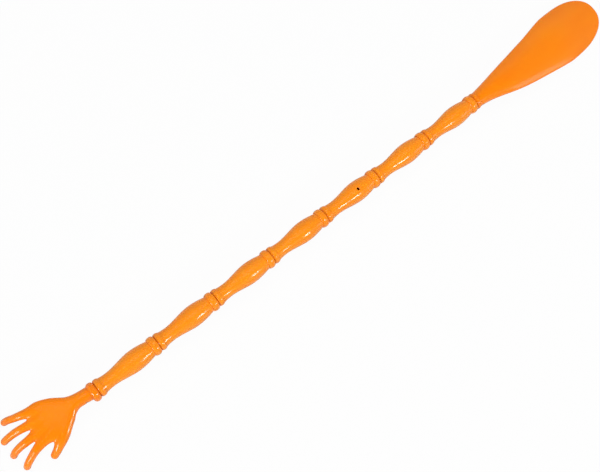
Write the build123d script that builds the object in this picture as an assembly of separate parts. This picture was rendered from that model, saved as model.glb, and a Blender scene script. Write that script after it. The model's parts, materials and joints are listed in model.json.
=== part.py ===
from build123d import *
import math
import os

# A long-handled back scratcher and shoehorn, moulded in glossy plastic.
# A hand, seven identical turned-looking links and a shoehorn blade push together end to end.
# Each joint is a keyed spigot in a socket, hidden behind a bead and a lip.
# All sizes are in millimetres. X runs along the shaft from the hand to the shoehorn, +Z is up,
# and the back of the hand and the outside of the shoehorn face up.
# While the pieces are made, X = 0 is the first seam and Z = 0 is the shaft's axis.

# ---- driving dimensions -------------------------------------------------------------------

link_count = 7
link_pitch = 52.0
seam_gap = 0.05

bead_diameter = 14.8
bead_width = 5.7
lip_diameter = 13.7
lip_width = 4.4
seam_diameter = 11.2
ring_foot_diameter = 12.1
neck_diameter = 10.9
neck_distance = 11.2
bulge_diameter = 15.8
bulge_distance = 32.4
ring_root_depth = 0.7
bead_root_slope = -0.24
lip_root_slope = -0.19

wall = 2.0
spigot_diameter = 7.4
spigot_length = 10.0
spigot_clearance = 0.05
spigot_end_clearance = 1.0
spigot_flat_height = 2.9
spigot_bore = 4.4

vent_link = 5
vent_diameter = 2.2

wrist_diameter = 10.6
hand_socket_depth = 11.0
palm_length = 46.0
palm_width = 28.8
palm_thickness = 6.0
palm_drop = 1.0
finger_tip_drop = 12.5
finger_base_diameter = 5.8
finger_end_diameter = 4.7
finger_bulb = 1.05
thumb_base_diameter = 6.6
thumb_end_diameter = 5.3

blade_length = 149.6
blade_width = 45.4
blade_thickness = 2.2
blade_arch = 6.0
blade_tip_length = 47.0
blade_tip_drop = 14.0
blade_tip_squareness = 2.3

# ---- shared shapes ------------------------------------------------------------------------

lip_start = seam_gap
bead_end = link_pitch
hull_overlap = 0.5
ring_foot = ring_foot_diameter / 2


def along_x(x, z=0.0):
    """A sketch plane across the shaft at x, with its own X along -Y and its own Y up."""
    return Plane(origin=(x, 0, z), x_dir=(0, -1, 0), z_dir=(-1, 0, 0))


def half_turned(edges, x_from, x_to):
    """The solid that a profile above the axis makes when it is turned about the shaft."""
    closing = Polyline((x_to, edges[-1].position_at(1).Y), (x_to, 0), (x_from, 0),
                       (x_from, edges[0].position_at(0).Y))
    face = make_face(edges + closing.edges())
    return revolve(face, Axis.X)


def bead_arc(x_end, root_radius):
    """The rounded bead, which ends at the seam face x_end. It starts at the radius given."""
    start = (x_end - bead_width, root_radius)
    crest = (x_end - bead_width / 2, bead_diameter / 2)
    return ThreePointArc(start, crest, (x_end, seam_diameter / 2))


def lip_arc(x_start, root_radius):
    """The rounded lip, which starts at the seam face x_start. It ends at the radius given."""
    crest = (x_start + lip_width / 2, lip_diameter / 2)
    return ThreePointArc((x_start, seam_diameter / 2), crest, (x_start + lip_width, root_radius))


def keyed_bar(x_from, x_to, extra=0.0):
    """A D-shaped bar along the shaft. extra makes it larger all round, for the socket."""
    radius = spigot_diameter / 2 + extra
    length = x_to - x_from
    bar = Pos(x_from + length / 2, 0, 0) * Rot(0, 90, 0) * Cylinder(radius, length)
    flat_z = spigot_flat_height + extra
    block = Pos(x_from + length / 2, 0, flat_z + radius / 2) * Box(length + 1, 4 * radius, radius)
    return bar - block


def tube_bore(x_from, x_to, diameter):
    """A round bar along the shaft, used to cut a bore."""
    length = x_to - x_from
    return Pos(x_from + length / 2, 0, 0) * Rot(0, 90, 0) * Cylinder(diameter / 2, length)


def spigot(x_face):
    """The keyed male end that stands out of the lip's face towards the hand."""
    return keyed_bar(x_face - spigot_length, x_face + hull_overlap)


def socket(x_face, depth):
    """The cutter for the keyed female end, open at the face x_face."""
    return keyed_bar(x_face - depth, x_face + 1, spigot_clearance)


# ---- the links ----------------------------------------------------------------------------


def link_outside():
    """One link's outside: lip, thin neck, long bulge and bead."""
    lip_end = lip_start + lip_width
    bead_start = bead_end - bead_width
    lip = lip_arc(lip_start, ring_foot)
    to_neck = Spline((lip_end, ring_foot), (neck_distance, neck_diameter / 2),
                     tangents=[(1, lip_root_slope), (1, 0)])
    to_bulge = Spline((neck_distance, neck_diameter / 2), (bulge_distance, bulge_diameter / 2),
                      tangents=[(1, 0), (1, 0)])
    to_bead = Spline((bulge_distance, bulge_diameter / 2), (bead_start, ring_foot),
                     tangents=[(1, 0), (1, bead_root_slope)])
    bead = bead_arc(bead_end, ring_foot)
    edges = lip.edges() + to_neck.edges() + to_bulge.edges() + to_bead.edges() + bead.edges()
    return half_turned(edges, lip_start, bead_end)


def link_hollow():
    """The space inside a link, one wall in from the outside of the neck and the bulge."""
    narrow = spigot_bore / 2
    socket_bottom = bead_end - spigot_length - spigot_end_clearance
    socket_radius = spigot_diameter / 2 + spigot_clearance
    neck = neck_diameter / 2 - wall
    bulge = bulge_diameter / 2 - wall
    hollow_start = lip_start + lip_width / 2
    widening = Spline((hollow_start, narrow), (neck_distance, neck), (bulge_distance, bulge),
                      tangents=[(1, 0), (1, 0)])
    narrowing = Spline((bulge_distance, bulge), (socket_bottom, socket_radius),
                       tangents=[(1, 0), (1, 0)])
    return half_turned(widening.edges() + narrowing.edges(), hollow_start, socket_bottom)


def link_solid():
    """A link before it is put in its place."""
    body = link_outside() + spigot(lip_start)
    body -= link_hollow()
    body -= tube_bore(lip_start - spigot_length - 1, lip_start + lip_width, spigot_bore)
    body -= socket(bead_end, spigot_length + spigot_end_clearance + hull_overlap)
    return body


def vent_hole():
    """The small hole on top of one link that opens into its hollow."""
    depth = bulge_diameter / 2
    return Pos(bulge_distance, 0, depth / 2 + spigot_bore / 2) * Cylinder(vent_diameter / 2, depth)


# ---- the hand -----------------------------------------------------------------------------

# Each finger's centre line runs from inside the palm to its tip. The numbers are the distance
# from the seam towards the tip, the offset to the left (+Y), and the share of the tip's drop.
finger_lines = {
    "little": [(42.0, 14.0, 0.02), (50.0, 17.6, 0.10), (55.2, 19.8, 0.34), (59.8, 21.8, 0.66),
               (62.2, 22.5, 1.0)],
    "ring": [(45.0, 8.3, 0.02), (54.4, 10.2, 0.10), (60.8, 11.3, 0.34), (66.6, 11.6, 0.66),
             (69.2, 11.7, 1.0)],
    "middle": [(45.0, 1.8, 0.02), (56.0, 1.2, 0.10), (62.2, 1.3, 0.34), (67.6, 0.9, 0.66),
               (70.2, 0.2, 1.0)],
    "index": [(42.0, -4.3, 0.02), (54.8, -6.9, 0.10), (60.3, -8.5, 0.34), (65.0, -10.4, 0.66),
              (66.9, -11.4, 1.0)],
}
thumb_line = [(27.0, -4.5, 0.02), (36.5, -11.6, 0.10), (43.4, -15.4, 0.30), (48.0, -17.4, 0.60)]

# The palm's sections: distance from the seam as a share of its length, offset to the left, half
# width as a share of the full spread, half thickness as a share of the full one, and drop.
palm_sections = [
    (0.44, 3.3, 0.41, 1.40, 0.0),
    (0.59, 2.7, 0.81, 1.18, 0.0),
    (0.72, 2.4, 1.02, 1.08, 0.0),
    (0.88, 4.0, 1.02, 0.96, 0.5),
    (1.00, 4.3, 0.96, 0.85, 1.0),
    (1.05, 3.9, 0.86, 0.65, 1.2),
]


def finger(line, base_diameter, end_diameter):
    """A tapering finger along its centre line, ending in a slightly fuller round tip."""
    points = [Vector(-x, y, -palm_drop - share * finger_tip_drop) for x, y, share in line]
    path = Spline(*points)
    last = len(points) - 1
    sections = []
    for number in range(len(points)):
        share = number / last
        diameter = base_diameter + (end_diameter - base_diameter) * share
        across = Plane(origin=path.position_at(share), z_dir=path.tangent_at(share), x_dir=(0, 1, 0))
        sections.append(across * Circle(diameter / 2))
    shaft = loft(sections)
    tip = Pos(path.position_at(1)) * Sphere(end_diameter / 2 * finger_bulb)
    return shaft + tip


def palm():
    """The flattened back of the hand, from the wrist out to the roots of the fingers."""
    wrist = wrist_diameter / 2
    wrist_end = palm_length * 0.28
    wrist_flattening = 0.92
    wrist_offset = 1.0
    sections = [
        along_x(-bead_width / 2) * Circle(wrist),
        Pos(0, wrist_offset, 0) * (along_x(-wrist_end) * Ellipse(wrist, wrist * wrist_flattening)),
    ]
    for share, offset, width_share, thickness_share, drop_share in palm_sections:
        oval = Ellipse(palm_width / 2 * width_share, palm_thickness / 2 * thickness_share)
        place = along_x(-palm_length * share, -palm_drop * drop_share)
        sections.append(Pos(0, offset, 0) * (place * oval))
    return loft(sections)


def hand_solid():
    """The hand with its bead and socket, before it is put in its place."""
    wrist = wrist_diameter / 2
    bead = half_turned(bead_arc(0, wrist - ring_root_depth).edges(), -bead_width, 0)
    body = bead + palm()
    for line in finger_lines.values():
        body += finger(line, finger_base_diameter, finger_end_diameter)
    body += finger(thumb_line, thumb_base_diameter, thumb_end_diameter)
    body -= socket(0, hand_socket_depth)
    return body


# ---- the shoehorn -------------------------------------------------------------------------


def blade_section(x, half_width, crown, arch, edge, belly):
    """One cross-section of the blade: an arched top, two upright edges and the underside."""
    edge_top = crown - arch
    edge_low = edge_top - edge
    top = ThreePointArc((-half_width, edge_top), (0, crown), (half_width, edge_top))
    right = Line((half_width, edge_top), (half_width, edge_low))
    under = ThreePointArc((half_width, edge_low), (0, belly), (-half_width, edge_low))
    left = Line((-half_width, edge_low), (-half_width, edge_top))
    return Pos(0, sway(x), 0) * (along_x(x) * make_face([top, right, under, left]))


# The blade's sections before its widest place: distance from its lip as a share of the way there,
# half width, height of the crown, arch, depth of the edges, and height of the underside's middle.
widest = blade_length - blade_tip_length
crown_at_neck = 5.1
crown_fall = blade_tip_drop / 2
trough_start = 0.30
arch_at_start = 0.66
neck_sections = [
    (0.10, ring_foot * 1.25, ring_foot * 0.98, ring_foot * 0.92, 1.6, -ring_foot * 0.84),
    (trough_start, blade_width / 2 * 0.512, crown_at_neck, blade_arch * arch_at_start, blade_thickness, 0.6),
]
width_shares = [(0.55, 0.703), (0.80, 0.882), (1.0, 0.985)]
tip_shares = [0.5, 1.1]
tip_flattening = 0.10
tip_overhang = 1.01
core_arch = 0.9
core_edge = 0.2

# The blade's middle line is not quite straight: a share of its length, and the offset to the left.
blade_sway = [(0.0, 0.0), (0.10, 0.0), (0.17, -0.5), (0.26, -1.1), (0.34, -1.3), (0.42, -1.15), (0.50, -0.9),
              (0.58, -0.4), (0.66, 0.2), (0.74, 0.8), (0.82, 1.5), (0.90, 2.0), (1.0, 2.4), (1.2, 2.8)]


def sway(x):
    """The offset to the left of the blade's middle line, at a distance from the blade's seam."""
    share = x / blade_length
    for (low, low_offset), (high, high_offset) in zip(blade_sway, blade_sway[1:]):
        if share <= high:
            return low_offset + (high_offset - low_offset) * (share - low) / (high - low)
    return blade_sway[-1][1]


def blade():
    """The arched blade: round at its neck, then a wide trough that is open underneath."""
    run = widest - lip_width
    core = ring_foot - ring_root_depth
    sections = [blade_section(lip_width / 2, core, core, core * core_arch, core * core_edge, -core)]
    for share, half_width, crown, arch, edge, belly in neck_sections:
        sections.append(blade_section(lip_width + run * share, half_width, crown, arch, edge, belly))
    for share, width_share in width_shares:
        along = (share - trough_start) / (1 - trough_start)
        crown = crown_at_neck - crown_fall * along
        arch = blade_arch * (arch_at_start + (1 - arch_at_start) * along)
        half_width = blade_width / 2 * width_share
        belly = crown - blade_thickness
        sections.append(
            blade_section(lip_width + run * share, half_width, crown, arch, blade_thickness, belly))
    for share in tip_shares:
        crown = crown_at_neck - crown_fall * (1 + share)
        arch = blade_arch * (1 - tip_flattening * share)
        half_width = blade_width / 2 * tip_overhang
        belly = crown - blade_thickness
        sections.append(
            blade_section(widest + blade_tip_length * share, half_width, crown, arch, blade_thickness, belly))
    return loft(sections)


def blade_outline():
    """The rounded end of the blade seen from above, as a tall block to cut the trough with."""
    half = blade_width / 2
    power = 2 / blade_tip_squareness
    points = []
    for degrees in range(-90, 91, 10):
        across = math.sin(math.radians(abs(degrees))) ** power * half
        ahead = math.cos(math.radians(degrees)) ** power * blade_tip_length
        points.append((widest + ahead, math.copysign(across, degrees) + sway(widest + ahead)))
    end = Spline(*points, tangents=[(1, 0), (-1, 0)])
    tail = Polyline(points[-1], (widest, blade_width), (0, blade_width), (0, -blade_width),
                    (widest, -blade_width), points[0])
    return extrude(make_face(end.edges() + tail.edges()), blade_width, both=True)


def shoehorn_solid():
    """The shoehorn with its lip and spigot; X = 0 is the seam at its lip."""
    lip = half_turned(lip_arc(lip_start, ring_foot - ring_root_depth).edges(), lip_start,
                      lip_start + lip_width)
    horn = blade() & blade_outline()
    return lip + horn + spigot(lip_start)


# ---- assembly -----------------------------------------------------------------------------

pieces = {"hand": hand_solid()}
for number in range(1, link_count + 1):
    link = link_solid()
    if number == vent_link:
        link -= vent_hole()
    pieces[f"link_{number}"] = Pos((number - 1) * link_pitch, 0, 0) * link
pieces["shoehorn"] = Pos(link_count * link_pitch, 0, 0) * shoehorn_solid()

# The origin is under the middle of the whole object, on the surface that it lies on.
boxes = [piece.bounding_box() for piece in pieces.values()]
middle_x = (min(box.min.X for box in boxes) + max(box.max.X for box in boxes)) / 2
middle_y = (min(box.min.Y for box in boxes) + max(box.max.Y for box in boxes)) / 2
lowest_z = min(box.min.Z for box in boxes)
to_frame = Pos(-middle_x, -middle_y, -lowest_z)

os.makedirs("parts", exist_ok=True)
for name, piece in pieces.items():
    print(name, "solids", len(piece.solids()), "valid", piece.is_valid)
    export_step(to_frame * piece, os.path.join("parts", name + ".step"))
print("first seam at x", -middle_x, "shaft axis at y", -middle_y, "z", -lowest_z)
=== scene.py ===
import json
import math

import bmesh
import bpy
import numpy as np
from mathutils import Matrix, Vector

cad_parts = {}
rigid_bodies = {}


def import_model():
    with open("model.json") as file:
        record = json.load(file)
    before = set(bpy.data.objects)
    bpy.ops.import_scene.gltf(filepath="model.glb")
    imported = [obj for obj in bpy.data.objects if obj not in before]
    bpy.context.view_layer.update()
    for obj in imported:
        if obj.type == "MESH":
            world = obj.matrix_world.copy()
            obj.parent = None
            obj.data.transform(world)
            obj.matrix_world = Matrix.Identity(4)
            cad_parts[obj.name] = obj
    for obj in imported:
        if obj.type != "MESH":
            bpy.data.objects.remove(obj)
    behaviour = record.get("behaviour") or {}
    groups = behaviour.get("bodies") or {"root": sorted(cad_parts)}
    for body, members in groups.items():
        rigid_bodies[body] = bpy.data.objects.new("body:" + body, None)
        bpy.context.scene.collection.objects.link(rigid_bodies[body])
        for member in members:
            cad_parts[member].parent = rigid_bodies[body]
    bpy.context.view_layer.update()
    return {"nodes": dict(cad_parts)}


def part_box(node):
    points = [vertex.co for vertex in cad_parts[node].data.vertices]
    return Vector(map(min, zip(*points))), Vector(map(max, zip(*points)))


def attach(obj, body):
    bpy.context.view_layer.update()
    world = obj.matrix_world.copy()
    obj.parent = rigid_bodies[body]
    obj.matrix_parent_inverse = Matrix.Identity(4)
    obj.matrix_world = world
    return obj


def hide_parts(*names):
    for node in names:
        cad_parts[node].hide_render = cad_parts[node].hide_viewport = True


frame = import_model()

# A back scratcher and shoehorn in glossy orange plastic: a hand, seven waisted links and a blade.
# Shapes are worked out in millimetres from the first seam on the shaft's axis, with X along the
# shaft towards the blade, and are put in the row frame, in metres, when their mesh is made.

MM = 0.001

# ---- where things are, from the CAD frame ---------------------------------------------------

link_names = sorted(name for name in frame["nodes"] if name.startswith("link_"))
first_low, first_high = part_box(link_names[0])
second_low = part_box(link_names[1])[0]
hand_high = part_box("hand")[1]
horn_low, horn_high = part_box("shoehorn")

PITCH = (second_low.x - first_low.x) / MM
BULGE_RADIUS = (first_high.z - first_low.z) / 2 / MM
SEAM = Vector((hand_high.x, (first_low.y + first_high.y) / 2,
               (first_low.z + first_high.z) / 2))
SPIGOT_LENGTH = (hand_high.x - first_low.x) / MM
BLADE_LENGTH = (horn_high.x - hand_high.x) / MM - PITCH * len(link_names)

# the blade sways sideways, so it is a little slimmer than its box
BLADE_INSET = 0.3
BLADE_HALF_WIDTH = (horn_high.y - horn_low.y) / 2 / MM - BLADE_INSET

# ---- sizes of the mouldings, in millimetres -------------------------------------------------

BEAD_RADIUS = 7.4
BEAD_WIDTH = 5.7
LIP_RADIUS = 6.85
LIP_WIDTH = 4.4
SEAM_RADIUS = 5.6
ROOT_RADIUS = 6.05
NECK_RADIUS = 5.45
NECK_X = 11.2
BULGE_X = 32.4
WALL = 2.0
SEAM_GAP = 0.05
SPIGOT_RADIUS = 3.7
SPIGOT_FLAT = 2.9
SPIGOT_BORE_RADIUS = 2.2
SPIGOT_CHAMFER = 0.5
BORE_CHAMFER = 0.15
SOCKET_CLEARANCE = 0.05
SOCKET_RADIUS = SPIGOT_RADIUS + SOCKET_CLEARANCE
SOCKET_FLAT = SPIGOT_FLAT + SOCKET_CLEARANCE
SOCKET_CHAMFER = 0.3
SOCKET_DEPTH = 11.0
VENT_RADIUS = 1.1
VENT_COUNTERSINK = 0.45
VENT_SIDES = 48
PARTING_RIDGE = 0.035

# how steeply a link's outside leaves its lip, and how steeply it meets its bead
LIP_FOOT_SLOPE = -0.19
BEAD_FOOT_SLOPE = -0.24

# a ring's foot that lies hidden in the wrist or the blade, and the radius that closes a shape
BURIED_FOOT = ROOT_RADIUS - 1.4
CLOSED = 0.02

# points around a turned shape, and steps over its two rings
AROUND = 128
LIP_STEPS = 18
BEAD_STEPS = 24

# painted shade in the seam grooves and at the rings' feet: place from a seam, strength, and the
# distances at which it starts and has faded
GROOVE_SHADE = [
    (0.0, 1.0, 0.2, 1.5),
    (-BEAD_WIDTH, 0.45, 0.1, 0.9),
    (LIP_WIDTH, 0.35, 0.1, 0.9),
]
# on the rings' crests the painted shade is cut to this share, within this band below the lip's
# radius
CREST_BAND = 0.15
CREST_SHARE = 0.3


# ---- general helpers ------------------------------------------------------------------------


def clean_scene():
    """Removes Blender's default objects, and leaves the frame."""
    for obj in list(bpy.data.objects):
        if obj.name in ("Cube", "Light", "Camera"):
            bpy.data.objects.remove(obj)


def mix(a, b, share):
    return a + (b - a) * share


def smoothstep(low, high, x):
    share = np.clip((np.asarray(x, float) - low) / (high - low), 0.0, 1.0)
    return share * share * (3.0 - 2.0 * share)


def cubic(t, span, y0, y1, slope0, slope1):
    """A cubic from y0 to y1 with given end slopes, at the share t of its span."""
    h00 = 2 * t ** 3 - 3 * t ** 2 + 1
    h10 = t ** 3 - 2 * t ** 2 + t
    h01 = -2 * t ** 3 + 3 * t ** 2
    h11 = t ** 3 - t ** 2
    return h00 * y0 + h10 * span * slope0 + h01 * y1 + h11 * span * slope1


def hermite(x0, y0, x1, y1, slope0, slope1, count):
    """Points of a smooth curve y(x) with given end slopes, without its first point."""
    span = x1 - x0
    shares = [step / count for step in range(1, count + 1)]
    return [(x0 + span * t, cubic(t, span, y0, y1, slope0, slope1)) for t in shares]


def arc_over(x0, r0, x_top, r_top, x1, r1, count):
    """Points of a rounded moulding from (x0, r0) over its crest to (x1, r1), both ends included."""
    points = []
    for step in range(count + 1):
        angle = math.pi * (1 - step / count)
        x = mix(x0, x1, (1 + math.cos(angle)) / 2)
        base = mix(r0, r1, (x - x0) / (x1 - x0))
        points.append((x, base + (r_top - base) * math.sin(angle)))
    return points


def smooth_table(xs, ys, x):
    """A Catmull-Rom curve through a short table, evaluated at an array of places."""
    xs = np.asarray(xs, float)
    ys = np.asarray(ys, float)
    slopes = np.gradient(ys, xs)
    x = np.clip(np.asarray(x, float), xs[0], xs[-1])
    index = np.clip(np.searchsorted(xs, x, side="right") - 1, 0, len(xs) - 2)
    span = xs[index + 1] - xs[index]
    t = (x - xs[index]) / span
    return cubic(t, span, ys[index], ys[index + 1], slopes[index], slopes[index + 1])


def new_object(name, vertices, faces, offset_x=0.0):
    """A mesh object from millimetre points about the first seam, moved into the row frame."""
    mesh = bpy.data.meshes.new(name)
    placed = [(SEAM.x + (x + offset_x) * MM, SEAM.y + y * MM, SEAM.z + z * MM)
              for x, y, z in vertices]
    mesh.from_pydata(placed, [], faces)
    mesh.update()
    obj = bpy.data.objects.new(name, mesh)
    bpy.context.scene.collection.objects.link(obj)
    return obj


def outward(obj):
    """Makes all faces of a closed mesh point outwards."""
    bm = bmesh.new()
    bm.from_mesh(obj.data)
    bmesh.ops.recalc_face_normals(bm, faces=bm.faces)
    bm.to_mesh(obj.data)
    bm.free()


def shade(obj, sharp_degrees=38.0):
    """Smooth shading, with a hard edge only where two faces meet at a real corner."""
    bm = bmesh.new()
    bm.from_mesh(obj.data)
    limit = math.radians(sharp_degrees)
    for face in bm.faces:
        face.smooth = True
    for edge in bm.edges:
        edge.smooth = len(edge.link_faces) != 2 or edge.calc_face_angle(0.0) < limit
    bm.to_mesh(obj.data)
    bm.free()


def paint_groove_shade(obj, seams):
    """Writes painted shade for the material: darkest deep in a seam's groove, weaker at a ring's
    foot, and cut back on the crests.
    """
    points = np.array([tuple(v.co) for v in obj.data.vertices]) / MM - np.array(SEAM) / MM
    radius = np.hypot(points[:, 1], points[:, 2])
    tone = np.zeros(len(points))
    for seam in seams:
        from_seam = points[:, 0] - seam
        for place, strength, start, faded in GROOVE_SHADE:
            spot = strength * (1.0 - smoothstep(start, faded, np.abs(from_seam - place)))
            tone = np.maximum(tone, spot)
    tone[radius > LIP_RADIUS - CREST_BAND] *= CREST_SHARE
    layer = obj.data.attributes.new("groove", "FLOAT", "POINT")
    layer.data.foreach_set("value", tone)


def finish_piece(obj, body, node, material):
    """Gives a piece its material, attaches it to the body it rides with, and hides the CAD node
    that it replaces.
    """
    obj.data.materials.clear()
    obj.data.materials.append(material)
    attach(obj, body)
    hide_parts(node)


def boolean(obj, other, operation):
    """Applies one boolean to obj and removes the other mesh."""
    modifier = obj.modifiers.new(operation, "BOOLEAN")
    modifier.operation = operation
    modifier.object = other
    modifier.solver = "EXACT"
    depsgraph = bpy.context.evaluated_depsgraph_get()
    result = bpy.data.meshes.new_from_object(obj.evaluated_get(depsgraph))
    obj.modifiers.clear()
    obj.data = result
    bpy.data.objects.remove(other)


# ---- turned shapes --------------------------------------------------------------------------


def ring_points(x, radius, flat=None, ridge=0.0):
    """One ring of a turned shape. flat cuts its top off, and ridge lifts the parting line."""
    points = []
    for number in range(AROUND):
        angle = 2 * math.pi * number / AROUND
        lift = ridge if number in (0, AROUND // 2) else 0.0
        y = (radius + lift) * math.cos(angle)
        z = (radius + lift) * math.sin(angle)
        if flat is not None:
            z = min(z, flat)
        points.append((x, y, z))
    return points


def band(low, high, sides=AROUND):
    """Faces between two rings of points, each given by the number of its first point."""
    faces = []
    for number in range(sides):
        after = (number + 1) % sides
        faces.append((low + number, low + after, high + after, high + number))
    return faces


def skin(rings):
    """Faces between successive rings, with the last ring joined to the first."""
    faces = []
    for index in range(len(rings)):
        faces += band(index * AROUND, (index + 1) % len(rings) * AROUND)
    return faces


def turned(name, rings, offset_x=0.0):
    """A closed turned mesh from rings, each given as ring_points() takes them."""
    vertices = []
    for ring in rings:
        vertices += ring_points(*ring)
    obj = new_object(name, vertices, skin(rings), offset_x)
    outward(obj)
    return obj


def round_rings(profile):
    """The (x, radius, flat) rings of a profile's (x, radius) points, with no flat."""
    return [(x, radius, None) for x, radius in profile]


def spigot_rings(x_face):
    """The D-shaped male end, from its bore's far end out to the lip's face."""
    tip = x_face - SPIGOT_LENGTH
    return [
        (tip + SPIGOT_CHAMFER, SPIGOT_BORE_RADIUS, None),
        (tip, SPIGOT_BORE_RADIUS + BORE_CHAMFER, None),
        (tip, SPIGOT_RADIUS - SPIGOT_CHAMFER, SPIGOT_FLAT - SPIGOT_CHAMFER),
        (tip + SPIGOT_CHAMFER, SPIGOT_RADIUS, SPIGOT_FLAT),
        (mix(tip, x_face, 0.5), SPIGOT_RADIUS, SPIGOT_FLAT),
        (x_face, SPIGOT_RADIUS, SPIGOT_FLAT),
    ]


def lip_profile(x_face, root):
    """The slim ring on the blade's side of a seam, from its face to its foot."""
    crest = x_face + LIP_WIDTH / 2
    return round_rings(arc_over(x_face, SEAM_RADIUS, crest, LIP_RADIUS,
                                x_face + LIP_WIDTH, root, LIP_STEPS))


def bead_profile(x_face, root):
    """The fat ring on the hand's side of a seam, from its foot to its face."""
    crest = x_face - BEAD_WIDTH / 2
    return round_rings(arc_over(x_face - BEAD_WIDTH, root, crest, BEAD_RADIUS,
                                x_face, SEAM_RADIUS, BEAD_STEPS))


def socket_rings(x_face):
    """The D-shaped female end, from the bead's face in to its bottom."""
    return [
        (x_face, SOCKET_RADIUS + SOCKET_CHAMFER, SOCKET_FLAT + SOCKET_CHAMFER),
        (x_face - SOCKET_CHAMFER, SOCKET_RADIUS, SOCKET_FLAT),
        (x_face - SOCKET_DEPTH, SOCKET_RADIUS, SOCKET_FLAT),
    ]


def link_profile():
    """The whole closed outline of a link as (x, radius, flat) rings."""
    lip_end = SEAM_GAP + LIP_WIDTH
    bead_start = PITCH - BEAD_WIDTH
    outside = hermite(lip_end, ROOT_RADIUS, NECK_X, NECK_RADIUS, LIP_FOOT_SLOPE, 0.0, 14)
    outside += hermite(NECK_X, NECK_RADIUS, BULGE_X, BULGE_RADIUS, 0.0, 0.0, 34)
    outside += hermite(BULGE_X, BULGE_RADIUS, bead_start, ROOT_RADIUS, 0.0, BEAD_FOOT_SLOPE, 24)
    bottom = PITCH - SOCKET_DEPTH
    inside = hermite(bottom, SPIGOT_RADIUS, BULGE_X, BULGE_RADIUS - WALL, 0.0, 0.0, 18)
    inside += hermite(BULGE_X, BULGE_RADIUS - WALL, NECK_X, NECK_RADIUS - WALL, 0.0, 0.0, 18)
    inside += hermite(NECK_X, NECK_RADIUS - WALL, LIP_WIDTH / 2, SPIGOT_BORE_RADIUS, 0.0, 0.0, 8)
    rings = spigot_rings(SEAM_GAP) + lip_profile(SEAM_GAP, ROOT_RADIUS) + round_rings(outside)
    rings += bead_profile(PITCH, ROOT_RADIUS)[1:] + socket_rings(PITCH) + round_rings(inside)
    return rings


def link_mesh(name, offset_x):
    """A link, with its parting line's ridge wherever a ring is at least as wide as the neck."""
    rings = []
    for x, radius, flat in link_profile():
        between = flat is None and LIP_WIDTH < x < PITCH - BEAD_WIDTH
        ridge = PARTING_RIDGE if between and radius >= NECK_RADIUS - 0.01 else 0.0
        rings.append((x, radius, flat, ridge))
    return turned(name, rings, offset_x)


def vent_cutter(offset_x):
    """A slim bar that cuts the vent hole, with a countersunk mouth."""
    mouth = VENT_RADIUS + VENT_COUNTERSINK
    levels = [
        (SPIGOT_RADIUS, VENT_RADIUS),
        (BULGE_RADIUS - VENT_COUNTERSINK, VENT_RADIUS),
        (BULGE_RADIUS, mouth),
        (BULGE_RADIUS + 1.0, mouth),
    ]
    vertices = []
    for z, radius in levels:
        for number in range(VENT_SIDES):
            angle = 2 * math.pi * number / VENT_SIDES
            vertices.append((BULGE_X + radius * math.cos(angle), radius * math.sin(angle), z))
    faces = [tuple(range(VENT_SIDES))[::-1]]
    for level in range(len(levels) - 1):
        faces += band(level * VENT_SIDES, (level + 1) * VENT_SIDES, VENT_SIDES)
    faces.append(tuple(range((len(levels) - 1) * VENT_SIDES, len(levels) * VENT_SIDES)))
    return new_object("vent_cutter", vertices, faces, offset_x)


# ---- the hand -------------------------------------------------------------------------------

# distance from the seam towards the finger tips, the middle's offset to the little finger's
# side, half width, half thickness, height
PALM_STATIONS = [
    (0.0, 0.0, 5.3, 5.3, 0.0),
    (6.0, 1.0, 5.2, 5.15, 0.0),
    (12.9, 1.9, 5.2, 4.85, 0.0),
    (16.5, 2.4, 5.5, 4.55, 0.0),
    (20.2, 2.4, 6.9, 4.2, 0.0),
    (23.4, 2.4, 9.1, 3.9, 0.0),
    (27.1, 2.85, 11.3, 3.55, 0.0),
    (32.1, 2.85, 14.05, 3.3, 0.0),
    (37.0, 3.5, 15.3, 3.1, -0.2),
    (41.0, 4.5, 15.3, 2.9, -0.5),
    (46.0, 4.8, 14.7, 2.6, -1.0),
    (56.0, 4.2, 13.0, 2.3, -1.6),
]
PALM_FRONT = 41.5
PALM_FRONT_LENGTH = 10.2
PALM_FRONT_SLANT = 0.25
WRIST_SQUARENESS = 2.0
WRIST_X = 14.0
PALM_SQUARENESS = 2.5
PALM_X = 30.0
FINGER_DROP = 12.5
PALM_DROP = 1.0

# centre lines: distance towards the tips, offset to the little finger's side, share of the drop,
# radius
FINGERS = [
    [(40.0, 14.3, 0.02, 3.7), (50.0, 17.65, 0.10, 3.05), (55.2, 19.5, 0.34, 2.75),
     (59.8, 21.5, 0.66, 2.6), (62.2, 22.3, 0.98, 2.55)],
    [(42.0, 7.7, 0.02, 3.0), (54.4, 9.9, 0.10, 2.95), (60.8, 11.0, 0.34, 2.8),
     (66.6, 11.4, 0.66, 2.65), (69.6, 11.5, 0.98, 2.6)],
    [(42.0, 2.0, 0.02, 3.0), (56.0, 1.0, 0.10, 3.0), (62.2, 1.1, 0.34, 2.8),
     (67.6, 0.7, 0.66, 2.65), (69.95, 0.0, 0.98, 2.6)],
    [(40.0, -3.5, 0.02, 3.0), (54.8, -7.1, 0.10, 3.0), (60.3, -8.8, 0.34, 2.8),
     (65.3, -10.7, 0.66, 2.65), (67.4, -11.7, 0.98, 2.6)],
]
THUMB = [(27.0, -4.5, 0.02, 3.3), (36.5, -11.7, 0.10, 3.5), (43.6, -15.5, 0.30, 3.15),
         (48.4, -17.5, 0.60, 2.8)]

# widths of the fillets between the fingers, where they leave the palm, and at the thumb
FINGER_FILLET = 1.3
PALM_FILLET = 1.8
THUMB_FILLET = 2.6

# the wrist ends inside the bead, this far from the seam
WRIST_END = 2.6

# further off than any point that is looked at
FAR_AWAY = 1e3

# the space that the hand's surface is looked for in, and the size of its cells
HAND_LOW = (-75.0, -25.0, -18.5)
HAND_HIGH = (-1.0, 27.0, 7.5)
HAND_CELL = 0.75


def smooth_min(a, b, width):
    """The smaller of two distances, with a fillet of about this width where they meet."""
    share = np.maximum(width - np.abs(a - b), 0.0) / width
    return np.minimum(a, b) - share * share * width / 4.0


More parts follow.
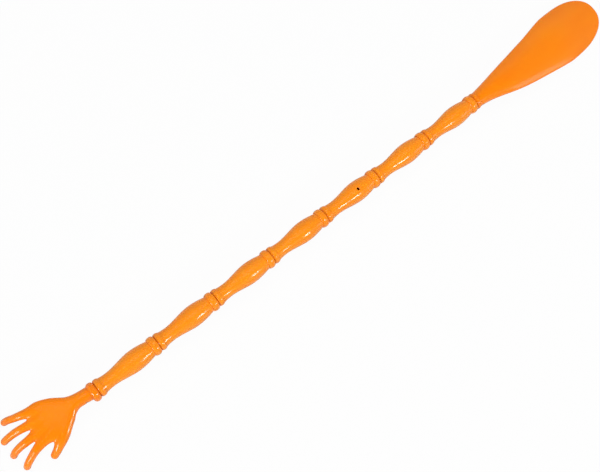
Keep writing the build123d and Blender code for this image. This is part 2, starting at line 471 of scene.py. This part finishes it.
def palm_distance(points):
    """About how far points lie outside the palm."""
    x = -points[:, 0]
    table = np.array(PALM_STATIONS)
    middle = smooth_table(table[:, 0], table[:, 1], x)
    half_width = smooth_table(table[:, 0], table[:, 2], x)
    half_height = smooth_table(table[:, 0], table[:, 3], x)
    height = smooth_table(table[:, 0], table[:, 4], x)
    slanted = x + PALM_FRONT_SLANT * points[:, 1] - PALM_FRONT
    front = np.clip(slanted / PALM_FRONT_LENGTH, 0.0, None)
    across = np.abs((points[:, 1] - middle) / half_width)
    up = np.abs((points[:, 2] - height) / half_height)
    squareness = mix(WRIST_SQUARENESS, PALM_SQUARENESS, smoothstep(WRIST_X, PALM_X, x))
    radius = (across ** squareness + up ** squareness + front ** squareness) ** (1.0 / squareness)
    return (radius - 1.0) * half_height


def dense_line(line, steps=5):
    """A finger's centre line with extra points between those given, on a smooth curve."""
    table = np.array([(-x, y, -PALM_DROP - share * FINGER_DROP, r) for x, y, share, r in line])
    place = np.arange(len(table), dtype=float)
    at = np.linspace(0.0, len(table) - 1.0, (len(table) - 1) * steps + 1)
    return np.stack([smooth_table(place, table[:, column], at) for column in range(4)], axis=1)


def finger_distance(points, line):
    """How far points lie outside a tapering finger with round ends."""
    dense = dense_line(line)
    best = np.full(len(points), FAR_AWAY)
    for start, end in zip(dense[:-1], dense[1:]):
        along = end[:3] - start[:3]
        share = np.clip((points - start[:3]) @ along / (along @ along), 0.0, 1.0)
        nearest = start[:3] + share[:, None] * along
        gap = np.linalg.norm(points - nearest, axis=1) - mix(start[3], end[3], share)
        best = np.minimum(best, gap)
    return best


def hand_distance(points):
    """How far points lie outside the hand, with filleted webs between the fingers."""
    fingers = np.full(len(points), FAR_AWAY)
    for line in FINGERS:
        fingers = smooth_min(fingers, finger_distance(points, line), FINGER_FILLET)
    body = smooth_min(palm_distance(points), fingers, PALM_FILLET)
    body = smooth_min(body, finger_distance(points, THUMB), THUMB_FILLET)
    return np.maximum(body, points[:, 0] + WRIST_END)


def surface_net(distance, low, high, cell):
    """A closed quad mesh where distance() is zero, with a vertex for each cell that it crosses."""
    counts = np.ceil((np.array(high) - np.array(low)) / cell).astype(int) + 1
    axes = [low[axis] + cell * np.arange(counts[axis]) for axis in range(3)]
    grid = np.stack(np.meshgrid(*axes, indexing="ij"), axis=-1)
    values = distance(grid.reshape(-1, 3)).reshape(counts)
    inside = values < 0.0
    corner = [(i, j, k) for i in (0, 1) for j in (0, 1) for k in (0, 1)]
    size = counts - 1
    total = sum(inside[i:i + size[0], j:j + size[1], k:k + size[2]].astype(int)
                for i, j, k in corner)
    crossed = (total > 0) & (total < 8)
    number = np.full(size, -1)
    number[crossed] = np.arange(crossed.sum())
    cells = np.argwhere(crossed)
    points = np.array(low) + (cells + 0.5) * cell
    faces = []
    for axis in range(3):
        first, second = (axis + 1) % 3, (axis + 2) % 3
        ahead = np.roll(inside, -1, axis=axis)
        for place in np.argwhere(inside != ahead):
            if place[axis] >= size[axis] or place[first] < 1 or place[second] < 1:
                continue
            if place[first] >= size[first] or place[second] >= size[second]:
                continue
            quad = []
            for step_first, step_second in ((0, 0), (-1, 0), (-1, -1), (0, -1)):
                spot = place.copy()
                spot[first] += step_first
                spot[second] += step_second
                quad.append(int(number[tuple(spot)]))
            faces.append(tuple(quad) if inside[tuple(place)] else tuple(reversed(quad)))
    return points, faces


def settle(points, distance, rounds=4, step=0.02):
    """Moves points along the slope of distance() until they lie on its zero surface."""
    for _ in range(rounds):
        value = distance(points)
        slope = np.empty_like(points)
        for axis in range(3):
            shift = np.zeros(3)
            shift[axis] = step
            slope[:, axis] = (distance(points + shift) - distance(points - shift)) / (2 * step)
        points = points - slope * (value / np.maximum((slope ** 2).sum(1), 0.05))[:, None]
    return points


def relax(points, faces, rounds, distance):
    """Evens out the mesh's spacing, and puts it back on the surface each time."""
    edges = set()
    for face in faces:
        for a, b in zip(face, face[1:] + face[:1]):
            edges.add((min(a, b), max(a, b)))
    pairs = np.array(sorted(edges))
    for _ in range(rounds):
        total = np.zeros_like(points)
        count = np.zeros(len(points))
        np.add.at(total, pairs[:, 0], points[pairs[:, 1]])
        np.add.at(total, pairs[:, 1], points[pairs[:, 0]])
        np.add.at(count, pairs[:, 0], 1)
        np.add.at(count, pairs[:, 1], 1)
        points = mix(points, total / count[:, None], 0.6)
        points = settle(points, distance, rounds=2)
    return points


def hand_mesh():
    """The hand, with its bead joined on and its socket cut out."""
    points, faces = surface_net(hand_distance, HAND_LOW, HAND_HIGH, HAND_CELL)
    points = settle(points, hand_distance)
    points = relax(points, faces, 3, hand_distance)
    obj = new_object("hand_moulding", points.tolist(), faces)
    outward(obj)
    bead = [(-BEAD_WIDTH, CLOSED, None)] + bead_profile(0.0, BURIED_FOOT) + [(0.0, CLOSED, None)]
    boolean(obj, turned("bead_disc", bead), "UNION")
    mouth_radius = SOCKET_RADIUS + SOCKET_CHAMFER
    mouth_flat = SOCKET_FLAT + SOCKET_CHAMFER
    bar = [
        (-SOCKET_DEPTH, CLOSED, None),
        (-SOCKET_DEPTH, SOCKET_RADIUS, SOCKET_FLAT),
        (-SOCKET_CHAMFER, SOCKET_RADIUS, SOCKET_FLAT),
        (0.0, mouth_radius, mouth_flat),
        (1.0, mouth_radius, mouth_flat),
        (1.0, CLOSED, None),
    ]
    boolean(obj, turned("socket_cutter", bar), "DIFFERENCE")
    return obj


# ---- the shoehorn ---------------------------------------------------------------------------

BLADE_TIP_LENGTH = 47.0
BLADE_WIDEST = BLADE_LENGTH - BLADE_TIP_LENGTH
BLADE_THICKNESS = 2.2
BLADE_ARCH = 6.0
BLADE_FLATNESS = 2.4
NECK_START = 5.0
NECK_END = 44.0
NECK_INSET = 0.12

# the tip's outline: how square its shoulders are, and how that eases off from a share of its length
SHOULDER_SQUARENESS = 2.9
SHOULDER_END = 0.417
TIP_EASING = 0.85

# how far a section's points are crowded towards the blade's edges, and how many sections there are
EDGE_CROWDING = 0.36
SIDE_SECTIONS = 100
TIP_SECTIONS = 72

# half the blade's width, at distances from its seam
SIDE_X = [4.4, 8.0, 14.0, 20.0, 26.0, 32.0, 38.0, 44.0, 50.0, 56.0, 62.0, 68.0, 74.0, 80.0, 86.0,
          92.0, 97.0, BLADE_WIDEST, BLADE_WIDEST + 5.6]
SIDE_HALF_WIDTH = [6.2, 6.6, 7.45, 8.6, 9.95, 11.3, 12.55, 13.7, 14.7, 15.65, 16.55, 17.4, 18.25,
                   19.2, 20.15, 21.1, 21.8, BLADE_HALF_WIDTH, BLADE_HALF_WIDTH]

# how far the blade's middle line lies towards +Y, at distances from its seam
SWAY_X = [0.0, 15.0, 26.0, 38.0, 50.0, 62.0, 74.0, 86.0, 98.0, 110.0, 122.0, 134.0, 149.6]
SWAY = [0.0, 0.0, -0.5, -1.1, -1.3, -1.15, -0.9, -0.4, 0.2, 0.8, 1.4, 2.0, 2.4]


def tip_squareness(share):
    """How square the blade's end is: fuller at its shoulders, rounder towards the very tip."""
    return SHOULDER_SQUARENESS - TIP_EASING * np.maximum(share - SHOULDER_END, 0.0)


def blade_half_width(x):
    """Half the blade's width seen from above, at a distance from its seam."""
    side = smooth_table(SIDE_X, SIDE_HALF_WIDTH, x)
    share = np.clip((np.asarray(x, float) - BLADE_WIDEST) / BLADE_TIP_LENGTH, 0.0, 1.0)
    power = tip_squareness(share)
    tip = BLADE_HALF_WIDTH * (1.0 - share ** power) ** (1.0 / power)
    return np.where(share > 0, tip, side)


def blade_crown(x):
    """The height of the blade's ridge line."""
    run = BLADE_WIDEST - LIP_WIDTH
    xs = [LIP_WIDTH / 2, LIP_WIDTH + 0.10 * run, LIP_WIDTH + 0.30 * run, LIP_WIDTH + 0.55 * run,
          LIP_WIDTH + 0.80 * run, BLADE_WIDEST, BLADE_WIDEST + BLADE_TIP_LENGTH * 0.5, BLADE_LENGTH]
    return smooth_table(xs, [6.0, 5.93, 5.1, 2.6, 0.1, -1.9, -5.4, -8.9], x)


def blade_arch(x):
    """How far the edges lie below the ridge line."""
    run = BLADE_WIDEST - LIP_WIDTH
    xs = [LIP_WIDTH, LIP_WIDTH + 0.30 * run, LIP_WIDTH + 0.55 * run, LIP_WIDTH + 0.80 * run,
          BLADE_WIDEST, BLADE_LENGTH]
    return smooth_table(xs, [3.6, 4.0, 4.7, 5.4, BLADE_ARCH, 5.6], x)


def blade_rings():
    """Closed sections of the blade: round at the neck, then a thin arch with rounded rims."""
    tip_run = np.sin(np.linspace(0.0, math.pi / 2, TIP_SECTIONS))[:-1]
    along = np.concatenate([np.linspace(LIP_WIDTH / 2, BLADE_WIDEST, SIDE_SECTIONS)[:-1],
                            BLADE_WIDEST + BLADE_TIP_LENGTH * tip_run])
    turn = np.linspace(0.0, 2 * math.pi, AROUND, endpoint=False)
    turn = turn - EDGE_CROWDING * np.sin(2 * turn) / 2
    radius = BLADE_THICKNESS / 2
    vertices = []
    for x in along:
        half = float(blade_half_width(x))
        crown = float(blade_crown(x))
        arch = float(blade_arch(x))
        round_share = 1.0 - float(smoothstep(NECK_START, NECK_END, x))
        y = half * np.cos(turn)
        side = np.sign(np.sin(turn))
        reach = max(x - BLADE_WIDEST, 0.0) / BLADE_TIP_LENGTH
        across = np.abs(y) / BLADE_HALF_WIDTH
        if reach > 0.0:
            power = float(tip_squareness(reach))
            level = (reach ** power + across ** power) ** (1.0 / power)
            slope = np.hypot(reach ** (power - 1.0) / BLADE_TIP_LENGTH,
                             across ** (power - 1.0) / BLADE_HALF_WIDTH)
            inward = (1.0 - level) / np.maximum(slope * level ** (1.0 - power), 1e-6)
            sag = arch * across ** BLADE_FLATNESS
        else:
            inward = half - np.abs(y)
            sag = arch * (np.abs(y) / half) ** BLADE_FLATNESS
        rim = np.clip(inward, 0.0, radius)
        thick = np.sqrt(np.maximum(2 * radius * rim - rim ** 2, 0.0))
        plate = crown - radius - sag + side * thick
        neck = (ROOT_RADIUS - NECK_INSET) * np.sin(turn)
        z = mix(plate, neck, round_share)
        sway = float(smooth_table(SWAY_X, SWAY, x))
        vertices += [(float(x), float(a) + sway, float(b)) for a, b in zip(y, z)]
    tip_z = float(blade_crown(BLADE_LENGTH)) - radius
    return len(along), vertices, (BLADE_LENGTH, SWAY[-1], tip_z)


def shoehorn_mesh(offset_x):
    """The blade, closed at its tip, with its lip and its solid spigot joined on."""
    count, vertices, tip = blade_rings()
    faces = []
    for index in range(count - 1):
        faces += band(index * AROUND, (index + 1) * AROUND)
    vertices.append(tip)
    last = (count - 1) * AROUND
    for number in range(AROUND):
        faces.append((last + number, last + (number + 1) % AROUND, len(vertices) - 1))
    faces.append(tuple(range(AROUND)))
    obj = new_object("shoehorn_moulding", vertices, faces, offset_x)
    outward(obj)
    spigot = spigot_rings(SEAM_GAP)
    collar = [(spigot[1][0], CLOSED, None)] + spigot[2:] + lip_profile(SEAM_GAP, BURIED_FOOT)
    collar += [(SEAM_GAP + LIP_WIDTH, CLOSED, None)]
    boolean(obj, turned("lip_collar", collar, offset_x), "UNION")
    return obj


# ---- material -------------------------------------------------------------------------------


def stretched(nodes, links, vector, scale):
    """A vector scaled differently along each axis."""
    node = nodes.new("ShaderNodeMapping")
    node.inputs["Scale"].default_value = scale
    links.new(vector, node.inputs["Vector"])
    return node.outputs["Vector"]


def noise(nodes, links, vector, scale, detail):
    """A noise texture over a vector."""
    node = nodes.new("ShaderNodeTexNoise")
    node.inputs["Scale"].default_value = scale
    node.inputs["Detail"].default_value = detail
    links.new(vector, node.inputs["Vector"])
    return node.outputs["Fac"]


def bump(nodes, links, height, strength, distance):
    """A bump node over a height."""
    node = nodes.new("ShaderNodeBump")
    node.inputs["Strength"].default_value = strength
    node.inputs["Distance"].default_value = distance
    links.new(height, node.inputs["Height"])
    return node


def orange_plastic(name, light, deep):
    """Glossy moulded plastic. light and deep are the two tones of its faintly clouded colour."""
    material = bpy.data.materials.new(name)
    material.use_nodes = True
    nodes = material.node_tree.nodes
    links = material.node_tree.links
    shader = nodes["Principled BSDF"]
    shader.inputs["IOR"].default_value = 1.49
    shader.inputs["Subsurface Weight"].default_value = 0.15
    shader.inputs["Subsurface Radius"].default_value = (1.0, 0.4, 0.1)
    shader.inputs["Subsurface Scale"].default_value = 0.0022
    place = nodes.new("ShaderNodeTexCoord").outputs["Object"]

    # the pigment is not quite even, and flows along the moulding
    flow = stretched(nodes, links, place, (14.0, 55.0, 55.0))
    cloud = noise(nodes, links, flow, 1.0, 3.0)
    colour = nodes.new("ShaderNodeValToRGB")
    colour.color_ramp.elements[0].position = 0.30
    colour.color_ramp.elements[0].color = (*deep, 1)
    colour.color_ramp.elements[1].position = 0.72
    colour.color_ramp.elements[1].color = (*light, 1)
    links.new(cloud, colour.inputs["Fac"])

    # painted shade: the grooves and the rings' feet are darkened towards a deep brown, as the shade
    # that gathers there
    groove = nodes.new("ShaderNodeAttribute")
    groove.attribute_name = "groove"
    share = nodes.new("ShaderNodeMath")
    share.operation = "MULTIPLY"
    share.inputs[1].default_value = 0.24
    links.new(groove.outputs["Fac"], share.inputs[0])
    painted_shade_mix = nodes.new("ShaderNodeMix")
    painted_shade_mix.data_type = "RGBA"
    links.new(share.outputs[0], painted_shade_mix.inputs["Factor"])
    links.new(colour.outputs["Color"], painted_shade_mix.inputs["A"])
    painted_shade_mix.inputs["B"].default_value = (0.40, 0.060, 0.002, 1)
    links.new(painted_shade_mix.outputs["Result"], shader.inputs["Base Color"])

    # fine rubbing marks along the shaft change the gloss
    stretch = stretched(nodes, links, place, (70.0, 700.0, 700.0))
    scuff = noise(nodes, links, stretch, 1.0, 4.0)
    rough = nodes.new("ShaderNodeMapRange")
    rough.inputs["From Min"].default_value = 0.3
    rough.inputs["From Max"].default_value = 0.75
    rough.inputs["To Min"].default_value = 0.13
    rough.inputs["To Max"].default_value = 0.20
    links.new(scuff, rough.inputs["Value"])
    links.new(rough.outputs["Result"], shader.inputs["Roughness"])

    # slow waves that cooling leaves in a thick wall, and a very fine mould texture
    slow = bump(nodes, links, noise(nodes, links, place, 130.0, 1.0), 0.10, 0.0003)
    fine = bump(nodes, links, noise(nodes, links, place, 1500.0, 2.0), 0.04, 0.00003)
    links.new(slow.outputs["Normal"], fine.inputs["Normal"])
    links.new(fine.outputs["Normal"], shader.inputs["Normal"])
    return material


# ---- building it ----------------------------------------------------------------------------

clean_scene()
# one plastic in two copies: the shaft's copy is painted lighter and yellower, as painted light for
# the fuller light that falls on the round links than on the hand and the blade
shaft_plastic_painted_lighter = orange_plastic("orange_plastic_shaft",
                               (0.955, 0.292, 0.010), (0.930, 0.262, 0.008))
blade_plastic = orange_plastic("orange_plastic_blade",
                               (0.955, 0.250, 0.003), (0.935, 0.222, 0.002))

hand = hand_mesh()
paint_groove_shade(hand, [0.0])
shade(hand)
finish_piece(hand, "hand", "hand", blade_plastic)

for index, name in enumerate(link_names):
    piece = link_mesh(name + "_moulding", index * PITCH)
    if name == "link_5":
        boolean(piece, vent_cutter(index * PITCH), "DIFFERENCE")
    paint_groove_shade(piece, [index * PITCH, (index + 1) * PITCH])
    shade(piece)
    finish_piece(piece, name, name, shaft_plastic_painted_lighter)

horn = shoehorn_mesh(len(link_names) * PITCH)
paint_groove_shade(horn, [len(link_names) * PITCH])
shade(horn)
finish_piece(horn, "shoehorn", "shoehorn", blade_plastic)


# ---- studio ---------------------------------------------------------------------------------


# the floor's half size in metres, its grey, and how much of it the camera sees as plain white
FLOOR_HALF_SIZE = 6.0
FLOOR_GREY = 0.62
FLOOR_WHITE_SHARE = 0.96

# the world's strength at its sides and overhead, and the heights between which it changes
TENT_SIDE = 0.36
TENT_TOP = 0.06
TENT_LOW = 0.45
TENT_HIGH = 0.85

# fitted to the picture: the camera's place from the first seam, and its turns about X, Y and Z
CAMERA_OFFSET = (-0.024028, -0.076465, 0.710716)
CAMERA_TURNS = (0.2584898, -0.1570638, -0.6877891)

# name, place, aim, width, height, power, and whether the plastic reflects it
LAMPS = [
    ("key_lamp", (0.165, -0.75, 0.57), (-0.02, 0.0, 0.0), 0.22, 0.18, 2.9, True),
    ("left_lamp", (-1.05, -0.25, 0.38), (-0.25, 0.0, 0.0), 0.24, 0.45, 4.5, True),
    ("rim_lamp", (0.71, -0.66, 0.38), (0.22, 0.0, 0.0), 0.30, 0.30, 0.45, True),
    ("fill_lamp", (0.1, 0.32, 1.55), (0.0, 0.0, 0.0), 1.4, 1.2, 20.0, False),
]


def floor():
    """A pale floor at z = 0, nearly white where the camera sees it."""
    half = FLOOR_HALF_SIZE
    corners = [(-half, -half, 0), (half, -half, 0), (half, half, 0), (-half, half, 0)]
    mesh = bpy.data.meshes.new("studio_floor")
    mesh.from_pydata(corners, [], [(0, 1, 2, 3)])
    obj = bpy.data.objects.new("studio_floor", mesh)
    bpy.context.scene.collection.objects.link(obj)
    material = bpy.data.materials.new("pale_floor")
    material.use_nodes = True
    nodes = material.node_tree.nodes
    links = material.node_tree.links
    diffuse = nodes["Principled BSDF"]
    diffuse.inputs["Base Color"].default_value = (FLOOR_GREY, FLOOR_GREY, FLOOR_GREY, 1)
    diffuse.inputs["Roughness"].default_value = 0.9
    glow = nodes.new("ShaderNodeEmission")
    glow.inputs["Strength"].default_value = 1.0
    path = nodes.new("ShaderNodeLightPath")
    share = nodes.new("ShaderNodeMath")
    share.operation = "MULTIPLY"
    share.inputs[1].default_value = FLOOR_WHITE_SHARE
    links.new(path.outputs["Is Camera Ray"], share.inputs[0])
    blend = nodes.new("ShaderNodeMixShader")
    links.new(share.outputs[0], blend.inputs["Fac"])
    links.new(diffuse.outputs[0], blend.inputs[1])
    links.new(glow.outputs[0], blend.inputs[2])
    links.new(blend.outputs[0], nodes["Material Output"].inputs["Surface"])
    obj.data.materials.append(material)


def area_lamp(name, place, aim, width, height, power, reflected):
    """A rectangular lamp that faces its aim."""
    data = bpy.data.lights.new(name, "AREA")
    data.shape = "RECTANGLE"
    data.size = width
    data.size_y = height
    data.energy = power
    obj = bpy.data.objects.new(name, data)
    obj.location = place
    towards = Vector(aim) - Vector(place)
    obj.rotation_euler = towards.to_track_quat("-Z", "Y").to_matrix().to_euler()
    obj.visible_glossy = reflected
    bpy.context.scene.collection.objects.link(obj)


def camera():
    """The camera at the picture's viewing angle."""
    data = bpy.data.cameras.new("camera")
    data.sensor_width = 36.0
    data.lens = 60.0
    obj = bpy.data.objects.new("camera", data)
    turn_x, turn_y, turn_z = (Matrix.Rotation(angle, 3, axis)
                              for angle, axis in zip(CAMERA_TURNS, "XYZ"))
    turn = turn_z @ turn_y @ turn_x
    obj.matrix_world = Matrix.Translation(SEAM + Vector(CAMERA_OFFSET)) @ turn.to_4x4()
    bpy.context.scene.collection.objects.link(obj)
    bpy.context.scene.camera = obj


def world():
    """A soft tent of light, dim overhead, and white where the camera sees it."""
    scene_world = bpy.data.worlds.new("studio")
    bpy.context.scene.world = scene_world
    scene_world.use_nodes = True
    nodes = scene_world.node_tree.nodes
    links = scene_world.node_tree.links
    place = nodes.new("ShaderNodeTexCoord")
    split = nodes.new("ShaderNodeSeparateXYZ")
    links.new(place.outputs["Generated"], split.inputs["Vector"])
    height = nodes.new("ShaderNodeMapRange")
    height.interpolation_type = "SMOOTHSTEP"
    height.inputs["From Min"].default_value = TENT_LOW
    height.inputs["From Max"].default_value = TENT_HIGH
    height.inputs["To Min"].default_value = TENT_SIDE
    height.inputs["To Max"].default_value = TENT_TOP
    links.new(split.outputs["Z"], height.inputs["Value"])
    path = nodes.new("ShaderNodeLightPath")
    choice = nodes.new("ShaderNodeMix")
    links.new(path.outputs["Is Camera Ray"], choice.inputs["Factor"])
    links.new(height.outputs["Result"], choice.inputs["A"])
    choice.inputs["B"].default_value = 1.0
    links.new(choice.outputs["Result"], nodes["Background"].inputs["Strength"])
    nodes["Background"].inputs["Color"].default_value = (1, 1, 1, 1)


floor()
camera()
world()
for lamp in LAMPS:
    area_lamp(*lamp)

bpy.context.scene.view_settings.view_transform = "Standard"
